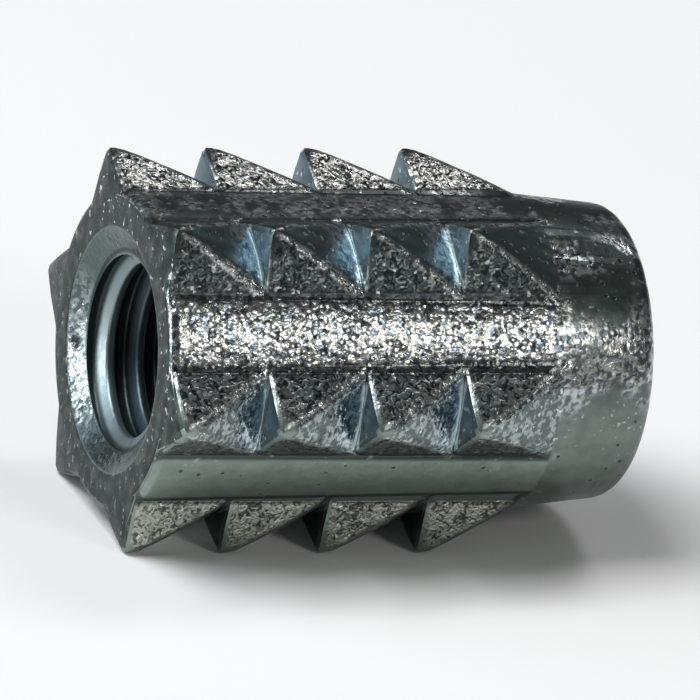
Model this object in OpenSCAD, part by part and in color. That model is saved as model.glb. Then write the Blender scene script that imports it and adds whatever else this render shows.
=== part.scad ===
// Threaded wood insert: a die-cast sleeve that is knocked into a drilled hole in wood.
// A metric thread runs through it, and rows of sawtooth barbs round its body grip the wood.
// It lies on two rows of barbs, with its axis along X and its threaded mouth towards -X.

/* [Body] */
// Length from the front face to the rear end
body_length = 13; // [11:0.5:25]
// Diameter of the core at the front face
core_front_d = 7.95; // [7.6:0.05:8.4]
// Diameter of the core where the barbs end
core_back_d = 7.74; // [7.4:0.02:7.9]
// Diameter that the plain pilot tapers to at the rear end
pilot_end_d = 7.2; // [6.8:0.1:7.4]
// Shortest plain pilot left behind the barbs
pilot_length_min = 2.5; // [1:0.1:4]
// Radius on the outer edge of the front face
front_edge_r = 0.16; // [0.05:0.01:0.3]
// Radius on the outer edge of the rear end
rear_edge_r = 0.4; // [0.1:0.05:0.5]

/* [Thread] */
// Minor diameter of the thread, the size of the plain hole through the body
thread_minor_d = 4.3; // [3.8:0.05:4.8]
// Mouth diameter of the countersink in the front face
front_sink_d = 6.1; // [5.4:0.1:6.8]
// Mouth diameter of the countersink in the rear end
rear_sink_d = 5.9; // [5.2:0.1:6.2]
// Full angle of the countersinks
sink_angle = 120; // [80:5:140]

/* [Barbs] */
// Number of rows of barbs round the body
row_count = 6; // [4:1:7]
// Diameter over the crests of two opposite rows
barb_d = 10.03; // [9:0.05:10.8]
// Angle between the two flanks of a barb
flank_angle = 78; // [60:1:84]
// Radius on the crest where the flanks meet
crest_r = 0.28; // [0.1:0.02:0.34]
// Distance from one barb to the next along a row
barb_pitch = 2.6; // [2:0.1:3.4]
// Length of the first barb that the front face cuts off
barb_trim = 0.08; // [0:0.02:0.3]
// Height of the roots between barbs above the core
root_rise = 0.06; // [0.02:0.02:0.2]
// Extra length over which the last ramp runs out on the core
run_out = 0.1; // [0:0.05:0.5]
// Radius on the tip of a barb, seen from the side
tip_r = 0.18; // [0.05:0.01:0.25]

/* [Hidden] */
$fn = 96;

half_flank = flank_angle / 2;
row_step = 360 / row_count;
// The sharp meeting point of a barb's flanks, before its crest is rounded
apex_r = barb_d / 2 + crest_r * (1 / sin(half_flank) - 1);
crest_centre_r = barb_d / 2 - crest_r;

barbed_room = body_length - pilot_length_min - run_out + barb_trim;
barb_count = floor(barbed_room / barb_pitch);
barb_end = barb_count * barb_pitch - barb_trim + run_out;

// Height of the axis while the insert lies on its two lowest rows
axis_height = crest_centre_r * cos(row_step / 2) + crest_r;

// How far the cutting tools run past the ends
overrun = 1;

// Where the upright face of barb i stands, measured from the front face
function barb_face(i) = i * barb_pitch - barb_trim;

// Radius of the tapering core at a distance from the front face
function core_r(x) = (core_front_d + (core_back_d - core_front_d) * x / barb_end) / 2;

// Foot of the ramp of barb i: on the next root, or on the core behind the last barb
function ramp_foot(i) =
    i < barb_count - 1
        ? [core_r(barb_face(i + 1)) + root_rise, barb_face(i + 1)]
        : [core_r(barb_end), barb_end];

function unit(v) = v / norm(v);

// Distance from a corner to where its rounding starts on each side
function rounding_reach(before, corner, after, r) =
    let (a = unit(before - corner), b = unit(after - corner))
        r * sqrt((1 + a * b) / (1 - a * b));

// Centre of the rounding in a corner
function rounding_centre(before, corner, after, r) =
    let (a = unit(before - corner), b = unit(after - corner))
        corner + unit(a + b) * r * sqrt(2 / (1 - a * b));

// A closed outline given as [x, y, radius] corners; a corner with a radius must be convex
module rounded_outline(corners) {
    last = len(corners) - 1;
    flat = [for (c = corners) [c.x, c.y]];
    before = [for (i = [0 : last]) flat[i == 0 ? last : i - 1]];
    after = [for (i = [0 : last]) flat[i == last ? 0 : i + 1]];
    polygon([
        for (i = [0 : last])
            let (reach = rounding_reach(before[i], flat[i], after[i], corners[i].z))
                each corners[i].z == 0
                    ? [flat[i]]
                    : [
                        flat[i] + unit(before[i] - flat[i]) * reach,
                        flat[i] + unit(after[i] - flat[i]) * reach
                    ]
    ]);
    for (i = [0 : last])
        if (corners[i].z > 0)
            translate(rounding_centre(before[i], flat[i], after[i], corners[i].z))
                circle(r = corners[i].z);
}

// Core and pilot, turned about the axis
module core() {
    rotate_extrude()
        rounded_outline([
            [0, 0, 0],
            [core_front_d / 2, 0, front_edge_r],
            [core_back_d / 2, barb_end, 0],
            [pilot_end_d / 2, body_length, rear_edge_r],
            [0, body_length, 0]
        ]);
}

// Side view of the barbs: upright faces towards the front and ramps down to the rear
module sawtooth() {
    rounded_outline([
        [0, barb_face(0), 0],
        for (i = [0 : barb_count - 1])
            each [
                [apex_r, barb_face(i), tip_r],
                [ramp_foot(i).x, ramp_foot(i).y, 0]
            ],
        [0, barb_end, 0]
    ]);
}

// End view of one row: two flanks that meet in a rounded crest
module row_section() {
    depth = apex_r - thread_minor_d / 2;
    half_width = depth * tan(half_flank);
    rounded_outline([
        [apex_r, 0, crest_r],
        [apex_r - depth, half_width, 0],
        [apex_r - depth, -half_width, 0]
    ]);
}

// All barbs: the turned sawtooth, kept only where the rows' sections reach
module barbs() {
    intersection() {
        rotate_extrude() sawtooth();
        for (i = [0 : row_count - 1])
            rotate([0, 0, (i + 0.5) * row_step])
                linear_extrude(barb_end) row_section();
    }
}

// A conical countersink whose mouth lies on the face at z = 0 and which narrows upwards
module countersink(mouth_d) {
    flare = tan(sink_angle / 2);
    depth = (mouth_d - thread_minor_d) / 2 / flare;
    translate([0, 0, -overrun])
        cylinder(
            h = overrun + depth,
            r1 = mouth_d / 2 + overrun * flare,
            r2 = thread_minor_d / 2
        );
}

// The hole through the body, with a countersink at each end
module threaded_hole() {
    translate([0, 0, -overrun])
        cylinder(h = body_length + 2 * overrun, d = thread_minor_d);
    countersink(front_sink_d);
    translate([0, 0, body_length]) mirror([0, 0, 1]) countersink(rear_sink_d);
}

// The whole insert, one casting
module insert_body() {
    color([0.56, 0.58, 0.58])
        translate([-body_length / 2, 0, axis_height])
            rotate([0, 90, 0])
                difference() {
                    union() {
                        core();
                        barbs();
                    }
                    threaded_hole();
                }
}

insert_body();
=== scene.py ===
"""A threaded wood insert in bright zinc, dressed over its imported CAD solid.

The insert is one casting. It is modelled here in millimetres about the X axis, with its front
face at X = 0, and moved onto the CAD node's own place, in metres, once its shape is whole.
"""

import math

import bmesh
import bpy
from mathutils import Matrix, Vector


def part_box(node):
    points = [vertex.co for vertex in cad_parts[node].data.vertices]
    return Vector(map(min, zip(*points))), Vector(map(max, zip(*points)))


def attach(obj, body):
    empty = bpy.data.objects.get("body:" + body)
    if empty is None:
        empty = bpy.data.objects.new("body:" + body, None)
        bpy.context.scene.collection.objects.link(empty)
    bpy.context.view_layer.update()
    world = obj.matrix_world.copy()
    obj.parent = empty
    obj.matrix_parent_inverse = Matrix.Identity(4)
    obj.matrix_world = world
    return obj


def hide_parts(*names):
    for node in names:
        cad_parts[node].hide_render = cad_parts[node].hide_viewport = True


MM = 0.001

# ---------------------------------------------------------------- sizes, in millimetres

LENGTH = 13.0
CORE_FRONT_R = 3.975
CORE_BACK_R = 3.87
PILOT_END_R = 3.6
FRONT_EDGE_R = 0.24
REAR_EDGE_R = 0.42

ROWS = 6
SECTOR = 2 * math.pi / ROWS
BARBS = 4
BARB_PITCH = 2.6
BARB_TRIM = 0.08
BARB_END = 10.42
APEX_R = 5.18
FLANK_HALF_ANGLE = math.radians(39)
ROOT_RISE = 0.06
# Where a barb's section starts, inside the core, and how far it runs on into what follows.
BARB_BASE_R = 3.2
BARB_OVERLAP = 0.12
LAST_BARB_OVERLAP = 0.3
# Rounding of a barb's edges, and the reach and passes of the smoothing at its tip.
BARB_EDGE = 0.18
TIP_REACH = 0.45
TIP_PASSES = 3
SHARP_FOLD = math.radians(25)
# Turns about the axis at which flat cuts make up the cone of a ramp.
RAMP_CUTS = [math.radians(turn) for turn in (-13, -6, 0, 6, 13)]

THREAD_PITCH = 0.8
THREAD_MINOR_R = 2.15
THREAD_MAJOR_R = 2.5
THREAD_FLANK_ANGLE = math.radians(30)
THREAD_CORNER_R = 0.05
# The flats at the crest and at the root, as shares of the mean of the two.
CREST_SHARE = 0.9
ROOT_SHARE = 1.1
# The first whole crest: its distance from the front face at a turn about the axis from +Z.
FIRST_CREST = 0.81
FIRST_CREST_TURN = math.radians(-114)
# Whole turns of the thread's tool ahead of the first crest, and in all beyond the length.
TURNS_AHEAD = 3
SPARE_TURNS = 5

FRONT_SINK_R = 3.05
REAR_SINK_R = 2.95
SINK_FACE_ANGLE = math.radians(30)
SINK_TIP_R = 0.6
SINK_MARGIN = 0.6
MOUTH_EDGE_R = 0.08
# A dark pit in the cone of the mouth.
MOUTH_PIT = (0.13, 2.64, -0.91)

OVERRUN = 0.5
MARGIN = 0.01
WELD = 1e-5
LOOSE_WELD = 1e-4
CUT_TOLERANCE = 1e-6

CORE_STEPS = 180
SINK_STEPS = 144
THREAD_STEPS = 72
CORNER_SEGMENTS = 5
EDGE_SEGMENTS = 4

SHARP_ANGLE = math.radians(28)
SHADING_WEIGHT = 60


# ---------------------------------------------------------------- bmesh helpers


def outline(bm, corners):
    """A chain of edges through corners, each (x, r, radius), with the corners rounded."""
    verts = [bm.verts.new((x, 0, r)) for x, r, _ in corners]
    for a, b in zip(verts, verts[1:]):
        bm.edges.new((a, b))
    for vert, (_, _, radius) in zip(verts, corners):
        if radius:
            bmesh.ops.bevel(
                bm, geom=[vert], offset=radius, offset_type="OFFSET",
                segments=CORNER_SEGMENTS, profile=0.5, affect="VERTICES", material=-1,
            )


def everything(bm):
    """All the verts, edges and faces of a bmesh, as its operators take them."""
    return bm.verts[:] + bm.edges[:] + bm.faces[:]


def made_verts(result):
    """The verts among what an operator made."""
    return [item for item in result["geom"] if isinstance(item, bmesh.types.BMVert)]


def closed(bm):
    """Welds the seam and the poles, and turns every face outwards."""
    bmesh.ops.remove_doubles(bm, verts=bm.verts, dist=WELD)
    bmesh.ops.recalc_face_normals(bm, faces=bm.faces)
    return bm


def turned(corners, steps):
    """A solid of revolution about the X axis. The outline starts and ends on the axis."""
    bm = bmesh.new()
    outline(bm, corners)
    bmesh.ops.spin(
        bm, geom=bm.verts[:] + bm.edges[:], cent=(0, 0, 0), axis=(1, 0, 0),
        dvec=(0, 0, 0), angle=2 * math.pi, steps=steps, use_merge=True,
    )
    return closed(bm)


def rolled(bm, turn):
    """Turns the whole bmesh about the X axis."""
    bmesh.ops.rotate(bm, verts=bm.verts, cent=(0, 0, 0), matrix=Matrix.Rotation(turn, 3, "X"))


def cut(bm, point, normal):
    """Takes off what is beyond a plane and closes the cut."""
    result = bmesh.ops.bisect_plane(
        bm, geom=everything(bm), dist=CUT_TOLERANCE,
        plane_co=point, plane_no=normal, clear_outer=True,
    )
    rim = [item for item in result["geom_cut"] if isinstance(item, bmesh.types.BMEdge)]
    if rim:
        bmesh.ops.edgeloop_fill(bm, edges=rim)


def as_object(bm, name):
    """The bmesh as an object in the scene."""
    mesh = bpy.data.meshes.new(name)
    bm.to_mesh(mesh)
    bm.free()
    obj = bpy.data.objects.new(name, mesh)
    bpy.context.scene.collection.objects.link(obj)
    return obj


def combine(obj, tool, operation):
    """Joins a tool to the object or cuts it away, and throws the tool away."""
    mod = obj.modifiers.new(operation.lower(), "BOOLEAN")
    mod.operation, mod.object, mod.solver = operation, tool, "EXACT"
    shape = obj.evaluated_get(bpy.context.evaluated_depsgraph_get())
    before, after = obj.data, bpy.data.meshes.new_from_object(shape)
    obj.modifiers.clear()
    obj.data = after
    bpy.data.meshes.remove(before)
    bpy.data.meshes.remove(tool.data)


# ---------------------------------------------------------------- the casting


def core_radius(x):
    """The core's radius at a distance from the front face."""
    return CORE_FRONT_R + (CORE_BACK_R - CORE_FRONT_R) * x / BARB_END


def core():
    """The body between the rows, with its pilot, still without a hole."""
    corners = [
        (0, 0, 0),
        (0, CORE_FRONT_R, FRONT_EDGE_R),
        (BARB_END, CORE_BACK_R, 0),
        (LENGTH, PILOT_END_R, REAR_EDGE_R),
        (LENGTH, 0, 0),
    ]
    return turned(corners, CORE_STEPS)


def barb_block(front, back):
    """The V section of a row, drawn out along the axis."""
    bm = bmesh.new()
    half = (APEX_R - BARB_BASE_R) * math.tan(FLANK_HALF_ANGLE)
    corners = ((-half, BARB_BASE_R), (half, BARB_BASE_R), (0, APEX_R))
    section = bm.faces.new([bm.verts.new((front, y, r)) for y, r in corners])
    grown = bmesh.ops.extrude_face_region(bm, geom=[section])
    bmesh.ops.translate(bm, vec=(back - front, 0, 0), verts=made_verts(grown))
    bmesh.ops.recalc_face_normals(bm, faces=bm.faces)
    return bm


def cut_ramp(bm, front, slope):
    """Cuts the cone of a ramp, from the apex at the front down to the rear."""
    for turn in RAMP_CUTS:
        out = Vector((0, math.sin(turn), math.cos(turn)))
        normal = Vector((math.sin(slope), 0, 0)) + out * math.cos(slope)
        cut(bm, Vector((front, 0, 0)) + out * APEX_R, normal)
    bmesh.ops.remove_doubles(bm, verts=bm.verts, dist=LOOSE_WELD)
    bm.normal_update()


def round_barb(bm, front, back):
    """Rounds the edges that stay outside the core, and then the tip."""
    sharp = [
        edge for edge in bm.edges
        if edge.calc_face_angle(0) > SHARP_FOLD
        and max(vert.co.z for vert in edge.verts) > BARB_BASE_R + MARGIN
        and min(vert.co.x for vert in edge.verts) < back - MARGIN
    ]
    bmesh.ops.bevel(
        bm, geom=sharp, offset=BARB_EDGE, offset_type="OFFSET", segments=EDGE_SEGMENTS,
        profile=0.5, affect="EDGES", clamp_overlap=False, material=-1,
    )
    tip = [v for v in bm.verts if v.co.z > APEX_R - TIP_REACH and v.co.x < front + TIP_REACH]
    for _ in range(TIP_PASSES):
        bmesh.ops.smooth_vert(
            bm, verts=tip, factor=0.5, use_axis_x=True, use_axis_y=True, use_axis_z=True
        )


def barb(number):
    """One barb of a row: a V cut flat at the front and by a cone at the back."""
    last = number == BARBS - 1
    front = max(0, number * BARB_PITCH - BARB_TRIM)
    foot = BARB_END if last else (number + 1) * BARB_PITCH - BARB_TRIM
    foot_r = core_radius(foot) + (0 if last else ROOT_RISE)
    back = foot + (LAST_BARB_OVERLAP if last else BARB_OVERLAP)
    bm = barb_block(front, back)
    cut_ramp(bm, front, math.atan2(APEX_R - foot_r, foot - front))
    round_barb(bm, front, back)
    return closed(bm)


def barbs(numbers):
    """The barbs with these numbers in a row, in every row about the axis."""
    bm = bmesh.new()
    for number in numbers:
        part = barb(number)
        mesh = bpy.data.meshes.new("barb")
        part.to_mesh(mesh)
        part.free()
        bm.from_mesh(mesh)
        bpy.data.meshes.remove(mesh)
    rolled(bm, SECTOR / 2)
    bmesh.ops.spin(
        bm, geom=everything(bm), cent=(0, 0, 0), axis=(1, 0, 0), dvec=(0, 0, 0),
        angle=SECTOR * (ROWS - 1), steps=ROWS - 1, use_duplicate=True,
    )
    return bm


def thread_outline(bm):
    """One pitch of the space inside the thread, from the middle of a crest to the next."""
    flank = (THREAD_MAJOR_R - THREAD_MINOR_R) * math.tan(THREAD_FLANK_ANGLE)
    flat = (THREAD_PITCH - 2 * flank) / 2
    crest, root = CREST_SHARE * flat / 2, ROOT_SHARE * flat / 2
    middle = THREAD_PITCH / 2
    corners = [
        (0, THREAD_MINOR_R, 0),
        (crest, THREAD_MINOR_R, THREAD_CORNER_R),
        (middle - root, THREAD_MAJOR_R, THREAD_CORNER_R),
        (middle + root, THREAD_MAJOR_R, THREAD_CORNER_R),
        (THREAD_PITCH - crest, THREAD_MINOR_R, THREAD_CORNER_R),
        (THREAD_PITCH, THREAD_MINOR_R, 0),
    ]
    outline(bm, corners)


def thread_tool():
    """The space inside the thread: one turn of its outline, repeated along the axis."""
    bm = bmesh.new()
    thread_outline(bm)
    bmesh.ops.spin(
        bm, geom=bm.verts[:] + bm.edges[:], cent=(0, 0, 0), axis=(1, 0, 0),
        dvec=(THREAD_PITCH / THREAD_STEPS, 0, 0), angle=2 * math.pi, steps=THREAD_STEPS,
    )
    turn = everything(bm)
    for i in range(1, math.ceil(LENGTH / THREAD_PITCH) + SPARE_TURNS):
        copy = bmesh.ops.duplicate(bm, geom=turn)
        bmesh.ops.translate(bm, vec=(i * THREAD_PITCH, 0, 0), verts=made_verts(copy))
    bmesh.ops.remove_doubles(bm, verts=bm.verts, dist=LOOSE_WELD)
    bmesh.ops.translate(bm, verts=bm.verts, vec=(FIRST_CREST - TURNS_AHEAD * THREAD_PITCH, 0, 0))
    rolled(bm, FIRST_CREST_TURN)
    cut(bm, (-OVERRUN, 0, 0), (-1, 0, 0))
    cut(bm, (LENGTH + OVERRUN, 0, 0), (1, 0, 0))
    bmesh.ops.recalc_face_normals(bm, faces=bm.faces)
    return bm


def sink_tool(mouth_r, at, into):
    """A countersink's cone, with its mouth softened. It opens at X = at and narrows along into."""
    depth = (mouth_r - SINK_TIP_R) * math.tan(SINK_FACE_ANGLE)
    corners = [
        (at - into * OVERRUN, 0, 0),
        (at - into * OVERRUN, mouth_r + SINK_MARGIN, 0),
        (at, mouth_r + SINK_MARGIN, 0),
        (at, mouth_r, MOUTH_EDGE_R),
        (at + into * depth, SINK_TIP_R, 0),
        (at + into * depth, 0, 0),
    ]
    return turned(corners, SINK_STEPS)


def casting(axis):
    """The whole insert in one closed skin, with its axis and front face in their place."""
    body = as_object(core(), "insert")
    # Every other barb at a time, because neighbours overlap.
    for first in (0, 1):
        combine(body, as_object(barbs(range(first, BARBS, 2)), "barbs"), "UNION")
    combine(body, as_object(thread_tool(), "thread"), "DIFFERENCE")
    combine(body, as_object(sink_tool(FRONT_SINK_R, 0, 1), "sink"), "DIFFERENCE")
    combine(body, as_object(sink_tool(REAR_SINK_R, LENGTH, -1), "sink"), "DIFFERENCE")
    body.data.transform(Matrix.Translation(axis) @ Matrix.Scale(MM, 4))
    body.data.shade_smooth()
    body.data.set_sharp_from_angle(angle=SHARP_ANGLE)
    even = body.modifiers.new("even shading", "WEIGHTED_NORMAL")
    even.keep_sharp, even.weight = True, SHADING_WEIGHT
    return body


# ---------------------------------------------------------------- shader expressions


class Value:
    """A shader socket that grows Math nodes when it is used in an expression."""

    def __init__(self, tree, socket):
        self.tree, self.socket = tree, socket

    def grown(self, operation, *items, clamp=False):
        """A new Math node, fed by sockets and numbers."""
        node = self.tree.nodes.new("ShaderNodeMath")
        node.operation, node.use_clamp = operation, clamp
        for entry, item in zip(node.inputs, items):
            if isinstance(item, Value):
                self.tree.links.new(item.socket, entry)
            else:
                entry.default_value = item
        return Value(self.tree, node.outputs[0])

    def math(self, operation, *others):
        return self.grown(operation, self, *others)

    def __add__(self, other):
        return self.math("ADD", other)

    def __sub__(self, other):
        return self.math("SUBTRACT", other)

    def __rsub__(self, other):
        return self.grown("SUBTRACT", other, self)

    def __mul__(self, other):
        return self.math("MULTIPLY", other)

    def __truediv__(self, other):
        return self.math("DIVIDE", other)

    def __rtruediv__(self, other):
        return self.grown("DIVIDE", other, self)

    def __pow__(self, other):
        return self.math("POWER", other)

    def __gt__(self, other):
        return self.math("GREATER_THAN", other)

    def __lt__(self, other):
        return self.math("LESS_THAN", other)

    def __neg__(self):
        return self.math("MULTIPLY", -1.0)

    def __abs__(self):
        return self.math("ABSOLUTE")

    __radd__ = __add__
    __rmul__ = __mul__

    def clamped(self):
        return self.grown("ADD", self, 0.0, clamp=True)

    def step(self, low, high):
        """0 below low, 1 above high and a smooth rise between them."""
        t = ((self - low) / (high - low)).clamped()
        return t * t * (3.0 - 2.0 * t)

    def near(self, inner, outer):
        """1 within inner of zero, 0 beyond outer."""
        return 1 - abs(self).step(inner, outer)


class Paint:
    """A material's node tree, with one way to add any node."""

    def __init__(self, name):
        self.material = bpy.data.materials.new(name)
        self.material.use_nodes = True
        self.tree = self.material.node_tree
        self.tree.nodes.clear()

    def node(self, kind, settings=None, inputs=None):
        node = self.tree.nodes.new("ShaderNode" + kind)
        for name, value in (settings or {}).items():
            setattr(node, name, value)
        for name, value in (inputs or {}).items():
            entry = node.inputs[name]
            if isinstance(value, Value):
                value = value.socket
            if isinstance(value, bpy.types.NodeSocket):
                self.tree.links.new(value, entry)
            else:
                entry.default_value = value
        return node

    def value(self, socket):
        return Value(self.tree, socket)

    def parts(self, vector):
        node = self.node("SeparateXYZ", inputs={0: vector})
        return [self.value(out) for out in node.outputs]

    def vector(self, operation, *items):
        return self.node("VectorMath", {"operation": operation}, dict(enumerate(items))).outputs[0]

    def distance(self, a, b):
        node = self.node("VectorMath", {"operation": "DISTANCE"}, {0: a, 1: b})
        return self.value(node.outputs["Value"])

    def scaled(self, vector, scale):
        node = self.node("VectorMath", {"operation": "SCALE"}, {0: vector, "Scale": scale})
        return node.outputs[0]

    def noise(self, where, scale, detail=2.0, distortion=0.0):
        inputs = {"Vector": where, "Scale": scale, "Detail": detail, "Distortion": distortion}
        return self.value(self.node("TexNoise", inputs=inputs).outputs[0])

    def mix(self, factor, a, b):
        return self.node("Mix", {"data_type": "RGBA"}, {0: factor, 6: a, 7: b}).outputs[2]

    def layered(self, colour, layers):
        """A colour with others laid over it, each (mask, colour), in order."""
        for mask, over in layers:
            colour = self.mix(mask, colour, over)
        return colour

    def finish(self, shader):
        out = self.node("OutputMaterial")
        self.tree.links.new(shader.outputs[0], out.inputs["Surface"])
        return self.material


def rgb(*parts):
    return (*parts, 1.0)


# ---------------------------------------------------------------- bright zinc

# Sides of the insert: degrees up from the side that faces -Y, and the cosines to that direction
# between which the side's mask rises from 0 to 1. Colour laid by these sides is painted light:
# highlights on the sides that face the lamps, shade above and reflections of the floor below.
SIDES = {
    "rough": (29, 0.93, 0.994),
    "rough_pilot": (22, 0.89, 0.995),
    "near": (30, 0.5, 0.8),
    "low_row": (0, 0.85, 1.0),
    "low_flank": (8, 0.88, 0.97),
    "upper": (60, 0.3, 0.6),
    "pilot_top": (62, 0.97, 0.995),
    "overhead": (90, 0.5, 0.9),
    "top": (112, 0.82, 0.95),
    "under": (-62, 0.6, 0.9),
    "lower": (-28, 0.75, 0.95),
    "mouth_highlight": (205, 0.62, 0.9),
}

PLAIN_DARK = rgb(0.13, 0.165, 0.158)
PLAIN_PALE = rgb(0.195, 0.24, 0.228)
PLAIN_OVERHEAD_SHADE = rgb(0.045, 0.055, 0.052)
PLAIN_PILOT = rgb(0.06, 0.075, 0.07)
PLAIN_LOWER_REFLECTION = rgb(0.32, 0.385, 0.335)
BEAD_COLD = rgb(0.26, 0.32, 0.42)
BEAD_WARM = rgb(0.42, 0.43, 0.36)
BEAD_CREST_HIGHLIGHT = rgb(0.62, 0.65, 0.64)
BEAD_GAP_SHADE = rgb(0.05, 0.062, 0.066)
FLANK_DARK = rgb(0.105, 0.128, 0.122)
FLANK_UNDER_REFLECTION = rgb(0.45, 0.48, 0.40)
FLANK_LOW_FLOOR_LIGHT = rgb(0.20, 0.235, 0.225)
FLANK_CREST_HIGHLIGHT = rgb(0.42, 0.46, 0.46)
FLANK_TOP_HIGHLIGHT = rgb(0.55, 0.56, 0.52)
FLANK_GAP_SHADE = rgb(0.025, 0.03, 0.032)
FLANK_FOOT_SHADE = rgb(0.03, 0.036, 0.038)
FACE_SHADE_DARK = rgb(0.016, 0.026, 0.023)
FACE_SHADE_PALE = rgb(0.040, 0.057, 0.051)
RAMP = rgb(0.13, 0.165, 0.165)
RAMP_BEAD_HIGHLIGHT = rgb(0.34, 0.40, 0.41)
ROOT_BLUE_REFLECTION = rgb(0.17, 0.29, 0.42)
ROOT_PALE_HIGHLIGHT = rgb(0.78, 0.88, 0.92)
ROOT_FOOT_HIGHLIGHT = rgb(0.7, 0.78, 0.82)
STEEP_FACE_REFLECTION = rgb(0.13, 0.185, 0.215)
CREASE_HIGHLIGHT = rgb(0.7, 0.78, 0.8)
RIM_HIGHLIGHT = rgb(0.86, 0.88, 0.88)
RIM_GAP_SHADE = rgb(0.3, 0.32, 0.32)
FLECK_GLINT = rgb(0.85, 0.86, 0.84)
BORE = rgb(0.25, 0.31, 0.325)
BORE_DEEP_SHADE = rgb(0.085, 0.12, 0.14)
GROOVE_SHADE = rgb(0.045, 0.06, 0.062)
CONE_GAP_SHADE = rgb(0.06, 0.08, 0.083)
CONE_BEAD_HIGHLIGHT = rgb(0.30, 0.34, 0.345)
CONE_SHADE = rgb(0.075, 0.10, 0.096)
PIT = rgb(0.03, 0.033, 0.04)

# Patterns: features of a noise, or cells, to the millimetre.
PATCHES = 0.9
BLOTCHES = 2.6
SPOTS = 3.4
SPECKS = 5.0
WORMS = 6.2
CELLS = 6.2
CRINKLES = 6.3
FINE_GRAIN = 19.0
# Share of the spots that stay whole, where the others are pits, and the depth of the relief.
SPOTS_LEFT_OUT = 0.62
RELIEF = 0.022


class Place:
    """Where a shaded point lies on the insert, in millimetres, and masks for what it is part of."""

    def __init__(self, paint, axis):
        seen = paint.node("TexCoord").outputs["Object"]
        geometry = paint.node("NewGeometry")
        self.mm = paint.scaled(paint.vector("SUBTRACT", seen, tuple(axis)), 1 / MM)
        self.x, self.y, self.z = paint.parts(self.mm)
        self.rho = (self.y * self.y + self.z * self.z) ** 0.5
        self.normal = geometry.outputs["Normal"]
        self.aft = paint.parts(geometry.outputs["True Normal"])[0]
        self.side = {
            name: self.towards(degrees).step(low, high)
            for name, (degrees, low, high) in SIDES.items()
        }
        self.find_barb()
        self.find_surfaces()
        self.find_edges()

    def towards(self, degrees):
        """The cosine to a direction round the axis, in degrees up from the side facing -Y."""
        up, out = math.sin(math.radians(degrees)), math.cos(math.radians(degrees))
        return (self.z * up - self.y * out) / self.rho

    def find_barb(self):
        """The place in the nearest row: up from the axis, along from the barb's steep face, and
        the gaps to its flanks and to its ramp."""
        angle = self.z.math("ARCTAN2", self.y)
        off = angle - (angle / SECTOR).math("ROUND") * SECTOR
        across = abs(off.math("SINE") * self.rho)
        self.up = off.math("COSINE") * self.rho
        lean, rise = math.cos(FLANK_HALF_ANGLE), math.sin(FLANK_HALF_ANGLE)
        self.flank_gap = across * lean + self.up * rise - APEX_R * rise
        number = ((self.x + BARB_TRIM) / BARB_PITCH).math("FLOOR").math("MINIMUM", BARBS - 1.0)
        self.along = self.x - number * BARB_PITCH + BARB_TRIM
        self.to_next = BARB_PITCH - self.along
        slope = (APEX_R - CORE_BACK_R - ROOT_RISE) / BARB_PITCH
        self.ramp_gap = self.rho - APEX_R + self.along * slope

    def find_surfaces(self):
        """The kinds of surface, told by the place and by the way they face."""
        x, rho = self.x, self.rho
        self.outside = rho.step(FRONT_SINK_R - 0.06, FRONT_SINK_R + 0.02)
        self.hole = 1 - self.outside
        self.cone = self.hole * rho.step(THREAD_MAJOR_R - 0.02, THREAD_MAJOR_R + 0.06) * (x < 0.4)
        barbed = 1 - x.step(BARB_END - 0.05, BARB_END + 0.05)
        self.pilot = 1 - barbed
        self.facing = (-self.aft).step(0.85, 0.97) * self.outside
        self.steep = self.facing * x.step(0.3, 0.5)
        self.ramp = self.aft.step(0.2, 0.3) * self.outside * barbed
        self.followed = x < BARB_END - BARB_PITCH
        self.root = self.ramp * (1 - self.to_next.step(0.0, 1.0)) * self.followed
        flank = self.outside * self.flank_gap.near(0.02, 0.05) * self.aft.near(0.1, 0.3) * barbed
        self.flank = flank * rho.step(CORE_FRONT_R, CORE_FRONT_R + 0.03)
        self.strip = (1 - self.flank) * (1 - self.ramp) * (1 - self.facing)
        # The foot of each flank on the core, where the colour lays painted shade in the corner.
        seam = self.flank_gap.near(0.05, 0.12) * (1 - (rho - CORE_FRONT_R).step(0.02, 0.09))
        self.seam = seam * barbed * (1 - self.ramp) * (1 - self.facing)

    def find_edges(self):
        """The barbs' ridges, the lips of their steep faces and the creases at their roots."""
        by_flank = self.flank_gap.near(0.03, 0.10)
        self.ridge = by_flank * self.ramp_gap.near(0.04, 0.14)
        self.lip = by_flank * self.along.near(0.04, 0.13) * (self.rho > CORE_BACK_R + 0.1)
        foot = self.ramp * (1 - self.to_next.step(0.02, 0.10)) * self.followed
        corner = self.steep * (self.up - CORE_BACK_R - ROOT_RISE).near(0.05, 0.14)
        self.crease = (foot + corner).clamped()


class Grain:
    """The patterns in the plate and in the casting under it."""

    def __init__(self, paint, mm):
        self.patches = paint.noise(mm, PATCHES)
        self.blotches = paint.noise(mm, BLOTCHES, detail=3.0)
        self.specks = paint.noise(mm, SPECKS, detail=3.0)
        self.crinkle = paint.noise(mm, CRINKLES, distortion=0.5)
        self.worms = paint.noise(mm, WORMS, detail=1.5, distortion=1.2)
        self.fine = paint.noise(mm, FINE_GRAIN, detail=1.0)
        cells = paint.node("TexVoronoi", {"feature": "F1"}, {"Vector": mm, "Scale": CELLS})
        self.cell_colour, self.cell_centre = cells.outputs["Color"], cells.outputs["Position"]
        self.pick, self.hue, _ = paint.parts(self.cell_colour)
        spots = paint.node("TexVoronoi", {"feature": "F1"}, {"Vector": mm, "Scale": SPOTS})
        chosen = paint.parts(spots.outputs["Color"])[1] > SPOTS_LEFT_OUT
        self.spots = (1 - paint.value(spots.outputs["Distance"]).step(0.10, 0.22)) * chosen


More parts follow.
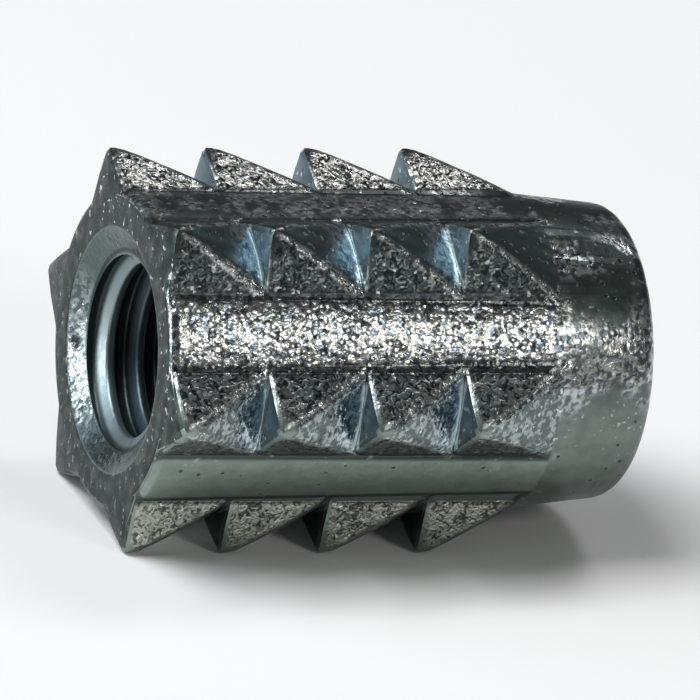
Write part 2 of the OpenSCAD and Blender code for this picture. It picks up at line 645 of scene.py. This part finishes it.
def edge_wear_and_highlight(on, grain):
    """Ridges and lips lightened as wear and as painted highlight, most of all on the upper rows,
    which face the lamps.
    """
    mottle = 0.6 * grain.fine + 0.4 * grain.pick
    upper = on.side["upper"]
    ridge = on.ridge * mottle.step(0.42, 0.62) * (0.12 + 0.7 * upper)
    lip = on.lip * mottle.step(0.2, 0.5) * (0.4 + 0.5 * upper)
    return (ridge + lip).clamped()


def flecks_and_glints(on, grain):
    """Bright flecks painted as glints, scattered over the faces, flanks and ramps, and more on the
    near and top sides.
    """
    where = 0.35 * on.facing * (1 - on.steep) + on.flank + 0.8 * on.ramp
    where = (where + 0.4 * on.side["near"] + 0.7 * on.side["top"]).clamped()
    return (grain.specks + 0.08 * grain.patches).step(0.665, 0.73) * where


def beading_and_highlight(on, grain, edge, glint_fleck):
    """How far the plate stands in beads, from 0 where it is plain to 1. The beads lie thickest on
    the sides that face the lamps, where their pale colour is painted highlight.
    """
    # Beads lie thickest on the sides facing the lamps; the pale colour they bring is painted
    # highlight.
    behind = on.x.step(BARB_END - 1.2, BARB_END + 0.4)
    rough = on.side["rough"]
    rough = rough + (on.side["rough_pilot"] * 0.68 - rough) * behind
    top_patches = on.side["top"] * grain.patches.step(0.44, 0.58)
    fading = on.x.step(BARB_END - 0.5, BARB_END + 0.7) * (1 - grain.patches.step(0.38, 0.6))
    beads = on.strip * (0.12 + 0.88 * rough + 0.75 * top_patches) * (1 - fading * 0.85)
    beads += on.strip * on.pilot * on.side["pilot_top"] * grain.patches.step(0.4, 0.55) * 0.7
    flank = 0.12 + 0.3 * grain.worms.step(0.55, 0.7) + 0.15 * on.side["low_flank"]
    beads += on.flank * (flank + 0.55 * on.side["top"] + 0.3 * on.side["under"])
    beads += on.ramp * (0.12 + 0.7 * on.side["low_row"]) + on.root * (0.4 + 0.4 * on.side["near"])
    beads += on.cone * 0.6 + on.facing * (1 - on.steep) * grain.blotches.step(0.45, 0.7) * 0.3
    return (beads + edge * 0.8 + glint_fleck * 0.5).clamped()


def relief(on, grain, beads):
    """The height of the plate: crinkles, worms on the flanks and a fine grain."""
    crinkle = grain.crinkle * (0.15 + 0.35 * beads) * (1 - on.flank)
    worms = grain.worms * on.flank * (1.0 + 1.2 * on.side["top"] + 1.5 * on.side["under"])
    return crinkle + worms + grain.fine * (0.1 + 0.2 * beads)


def facets(paint, on, grain, edge, beads):
    """The normal, tilted from bead to bead and domed over each."""
    tilt = paint.vector("SUBTRACT", grain.cell_colour, (0.5, 0.5, 0.5))
    tilt = paint.scaled(tilt, 0.03 + 0.09 * beads + 0.3 * edge + 0.25 * on.flank * on.side["top"])
    away = paint.vector("SUBTRACT", on.mm, grain.cell_centre)
    roundness = 0.3 + 3.0 * grain.pick * grain.pick
    dome = paint.scaled(away, roundness * beads * (1 - 0.5 * on.flank))
    bent = paint.vector("ADD", on.normal, paint.vector("ADD", tilt, dome))
    return paint.vector("NORMALIZE", bent)


def plain_plate(paint, on, grain):
    """The colour of the smooth plate: painted shade above, darker on the pilot, and a paler
    painted reflection of the floor on the lower side.
    """
    colour = paint.mix(grain.blotches.step(0.35, 0.65), PLAIN_DARK, PLAIN_PALE)
    lower = (0.55 + 0.3 * grain.blotches) * on.side["lower"] * (1 - 0.6 * on.pilot)
    layers = [
        # Painted shade on the side facing up.
        (0.75 * on.side["overhead"], PLAIN_OVERHEAD_SHADE),
        (0.4 * on.pilot, PLAIN_PILOT),
        # A painted reflection of the floor on the lower side.
        (lower, PLAIN_LOWER_REFLECTION),
    ]
    return paint.layered(colour, layers)


def beaded_plate(paint, grain, valley_shade):
    """The colour of the beads, warm or cold from one to the next, with painted highlight on their
    crests and painted shade in the gaps.
    """
    colour = paint.mix(grain.hue, BEAD_COLD, BEAD_WARM)
    layers = [(grain.crinkle.step(0.42, 0.62), BEAD_CREST_HIGHLIGHT), (valley_shade * 0.7, BEAD_GAP_SHADE)]
    return paint.layered(colour, layers)


def coarse_plate(paint, on, grain, valley_shade):
    """The colour of the barbs' flanks: a painted reflection of the floor underneath and on the low
    flanks, painted highlight on top and on the worm crests, and painted shade in the gaps.
    """
    top, under = on.side["top"], on.side["under"]
    colour = paint.mix(under, FLANK_DARK, FLANK_UNDER_REFLECTION)
    layers = [
        (on.flank * on.side["low_flank"], FLANK_LOW_FLOOR_LIGHT),
        (grain.worms.step(0.56, 0.68) * (1 - top) * 0.8, FLANK_CREST_HIGHLIGHT),
        (top, FLANK_TOP_HIGHLIGHT),
        (valley_shade * (1 - 0.15 * under), FLANK_GAP_SHADE),
    ]
    return paint.layered(colour, layers)


def barb_layers(paint, on, grain, edge, beads, valley_shade):
    """What lies over the plate on the outside, as (mask, colour): mostly painted light and shade.
    """
    near, top, upper = on.side["near"], on.side["top"], on.side["upper"]
    off_edge = 1 - edge
    # The front and steep faces darkened as painted shade, mottled by blotches.
    face = paint.mix(grain.blotches.step(0.35, 0.65), FACE_SHADE_DARK, FACE_SHADE_PALE)
    # Ramps of the lowest row beaded pale as painted highlight.
    ramp = paint.mix(on.side["low_row"] * grain.crinkle.step(0.47, 0.6), RAMP, RAMP_BEAD_HIGHLIGHT)
    # The roots on the near side: a painted blue reflection with pale painted highlights, and a
    # painted highlight at the foot.
    root = paint.mix(grain.crinkle.step(0.4, 0.58), ROOT_BLUE_REFLECTION, ROOT_PALE_HIGHLIGHT)
    return [
        (on.flank * off_edge, coarse_plate(paint, on, grain, valley_shade)),
        # Painted shade in the corner where a flank meets the core.
        (on.seam * 0.8, FLANK_FOOT_SHADE),
        (on.facing * (1 - 0.4 * beads), face),
        (on.ramp * off_edge * 0.85, ramp),
        (on.root * near * off_edge, root),
        (on.root * near * (1 - on.to_next.step(0.0, 0.3)), ROOT_FOOT_HIGHLIGHT),
        # A painted blue reflection on the steep faces of the upper and top rows.
        (on.steep * (upper * near + top) * off_edge, STEEP_FACE_REFLECTION),
        # A painted highlight along the creases at the roots, brightest on the near side.
        (on.crease * (0.3 + 0.7 * near), CREASE_HIGHLIGHT),
        # Ridges and lips lightened as wear and as painted highlight, with painted shade in their
        # low places.
        (edge, paint.mix(valley_shade * 0.6, RIM_HIGHLIGHT, RIM_GAP_SHADE)),
    ]


def hole_layers(paint, on, grain):
    """What lies over the plate in the hole, as (mask, colour): a painted highlight on the cone's
    beads, and painted shade on the rest of the cone, deep in the bore and in the groove.
    """
    # The mouth's cone: pale beads as painted highlight on the side facing the left lamp, painted
    # shade in their gaps and on the rest.
    cone = paint.mix(grain.crinkle.step(0.4, 0.6), CONE_GAP_SHADE, CONE_BEAD_HIGHLIGHT)
    cone = paint.mix(1 - on.side["mouth_highlight"], cone, CONE_SHADE)
    groove_shade = on.rho.step(THREAD_MAJOR_R - 0.18, THREAD_MAJOR_R - 0.05)
    return [
        (on.hole, BORE),
        (on.cone * 0.85, cone),
        # Painted shade deep in the bore and in the thread's groove.
        (on.hole * on.x.step(0.8, 1.3) * 0.9, BORE_DEEP_SHADE),
        (on.hole * groove_shade * (1 - on.cone), GROOVE_SHADE),
    ]


def bright_zinc(axis):
    """Zinc plate over the casting: beaded between the rows, coarse on the flanks, plainer on the
    flat faces, lightened along the ridges as wear and painted highlight, with painted light and
    shade laid by side, and with pits and stains."""
    paint = Paint("bright_zinc")
    on = Place(paint, axis)
    grain = Grain(paint, on.mm)
    edge = edge_wear_and_highlight(on, grain)
    glint_fleck = flecks_and_glints(on, grain)
    beads = beading_and_highlight(on, grain, edge, glint_fleck)
    # The low places of the relief, darkened in the colour as painted shade.
    valley_shade = 1 - (grain.crinkle + (grain.worms - grain.crinkle) * on.flank).step(0.36, 0.56)
    pit = grain.spots * (1 - beads).step(0.5, 0.8) * on.outside
    mouth_pit = 1 - (paint.distance(on.mm, MOUTH_PIT) + 0.12 * grain.fine).step(0.16, 0.3)

    plain = plain_plate(paint, on, grain)
    # The pale bead colour, laid most where the lamps strike, is painted highlight.
    colour = paint.mix(beads.step(0.05, 0.7), plain, beaded_plate(paint, grain, valley_shade))
    colour = paint.layered(colour, barb_layers(paint, on, grain, edge, beads, valley_shade))
    # Bright flecks painted as glints.
    colour = paint.mix(glint_fleck * 0.8, colour, FLECK_GLINT)
    colour = paint.layered(colour, hole_layers(paint, on, grain))
    colour = paint.mix((pit * 0.8 + mouth_pit).clamped(), colour, PIT)

    bump_inputs = {
        "Strength": 1.0,
        "Distance": RELIEF * MM,
        "Height": relief(on, grain, beads) - pit * 0.8,
        "Normal": facets(paint, on, grain, edge, beads),
    }
    rough = 0.34 - 0.14 * beads + 0.08 * grain.blotches + 0.05 * on.facing
    inputs = {
        "Base Color": colour,
        "Metallic": 1.0,
        "Roughness": rough - 0.08 * on.root + 0.08 * on.hole * (1 - on.cone),
        "Normal": paint.node("Bump", inputs=bump_inputs).outputs["Normal"],
    }
    return paint.finish(paint.node("BsdfPrincipled", inputs=inputs))


# ---------------------------------------------------------------- studio

FLOOR_SIZE = 2.0
FLOOR_SHADE = rgb(0.88, 0.88, 0.88)
FLOOR_ROUGHNESS = 0.9
ROOM_TINT = rgb(0.92, 0.97, 1.0)
ROOM_STRENGTH = 0.10

WARM, PURE, COOL = (1.0, 0.98, 0.92), (1.0, 1.0, 1.0), (0.72, 0.87, 1.0)
LAMP_DISTANCE = 0.4
# Name, direction from the insert, size, brightness to the eye, colour.
LAMPS = [
    ("key_front", (0.38, -0.765, 0.52), 0.09, 9.0, WARM),
    ("top_behind", (0.40, 0.32, 0.87), 0.11, 7.0, PURE),
    ("left_cone", (-0.975, 0.21, 0.085), 0.075, 36.0, PURE),
    ("left_behind", (-0.81, 0.37, 0.46), 0.28, 1.8, COOL),
    ("overhead", (-0.45, 0.0, 0.89), 0.22, 8.4, PURE),
]

# The camera looks at a point on the axis, from above and from the left, through a long lens.
AIM_ALONG = 6.286
FIELD = 17.178
CAMERA_PITCH = math.radians(90 - 24)
CAMERA_YAW = math.radians(-22)
LENS, SENSOR, CLIP_START = 1500.0, 36.0, 0.01


def pale_floor():
    """A matt pale ground that the insert lies on."""
    paint = Paint("pale_floor")
    inputs = {"Base Color": FLOOR_SHADE, "Roughness": FLOOR_ROUGHNESS}
    return paint.finish(paint.node("BsdfPrincipled", inputs=inputs))


def lamp(aim, name, direction, size, brightness, colour):
    """A square soft light that shines at a point from a direction."""
    data = bpy.data.lights.new(name, "AREA")
    data.shape, data.size, data.color = "SQUARE", size, colour
    data.energy = brightness * math.pi * size * size
    obj = bpy.data.objects.new(name, data)
    way = Vector(direction).normalized()
    obj.location = aim + way * LAMP_DISTANCE
    obj.rotation_euler = way.to_track_quat("Z", "Y").to_euler()
    bpy.context.scene.collection.objects.link(obj)


def camera(aim):
    """The camera, far off, with the field's width round the point that it looks at."""
    data = bpy.data.cameras.new("camera")
    data.lens, data.sensor_width, data.clip_start = LENS, SENSOR, CLIP_START
    obj = bpy.data.objects.new("camera", data)
    turn = Matrix.Rotation(CAMERA_PITCH, 4, "X") @ Matrix.Rotation(CAMERA_YAW, 4, "Y")
    back = Matrix.Translation((0, 0, FIELD * MM * LENS / SENSOR))
    obj.matrix_world = Matrix.Translation(aim) @ turn @ back
    bpy.context.scene.collection.objects.link(obj)
    bpy.context.scene.camera = obj


def studio(aim):
    """The floor, the room's faint light, the lamps and the camera."""
    scene = bpy.context.scene
    scene.view_settings.view_transform = "Standard"
    scene.world = bpy.data.worlds.new("soft_room")
    scene.world.use_nodes = True
    room = scene.world.node_tree.nodes["Background"]
    room.inputs["Color"].default_value = ROOM_TINT
    room.inputs["Strength"].default_value = ROOM_STRENGTH

    ground = bmesh.new()
    bmesh.ops.create_grid(ground, x_segments=1, y_segments=1, size=FLOOR_SIZE)
    floor = as_object(ground, "floor")
    floor.data.materials.append(pale_floor())

    for lamp_facts in LAMPS:
        lamp(aim, *lamp_facts)
    camera(aim)


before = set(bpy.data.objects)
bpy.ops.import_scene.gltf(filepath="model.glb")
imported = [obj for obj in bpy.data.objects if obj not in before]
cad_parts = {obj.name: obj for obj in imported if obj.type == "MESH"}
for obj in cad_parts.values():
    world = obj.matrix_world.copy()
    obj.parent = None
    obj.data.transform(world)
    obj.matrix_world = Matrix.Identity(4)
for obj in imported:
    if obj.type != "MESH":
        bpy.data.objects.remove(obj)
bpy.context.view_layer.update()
low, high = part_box("insert_body")
axis = Vector((low.x, 0, (low.z + high.z) / 2))

insert = casting(axis)
insert.data.materials.clear()
insert.data.materials.append(bright_zinc(axis))
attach(insert, "root")
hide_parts("insert_body")
studio(axis + Vector((AIM_ALONG * MM, 0, 0)))
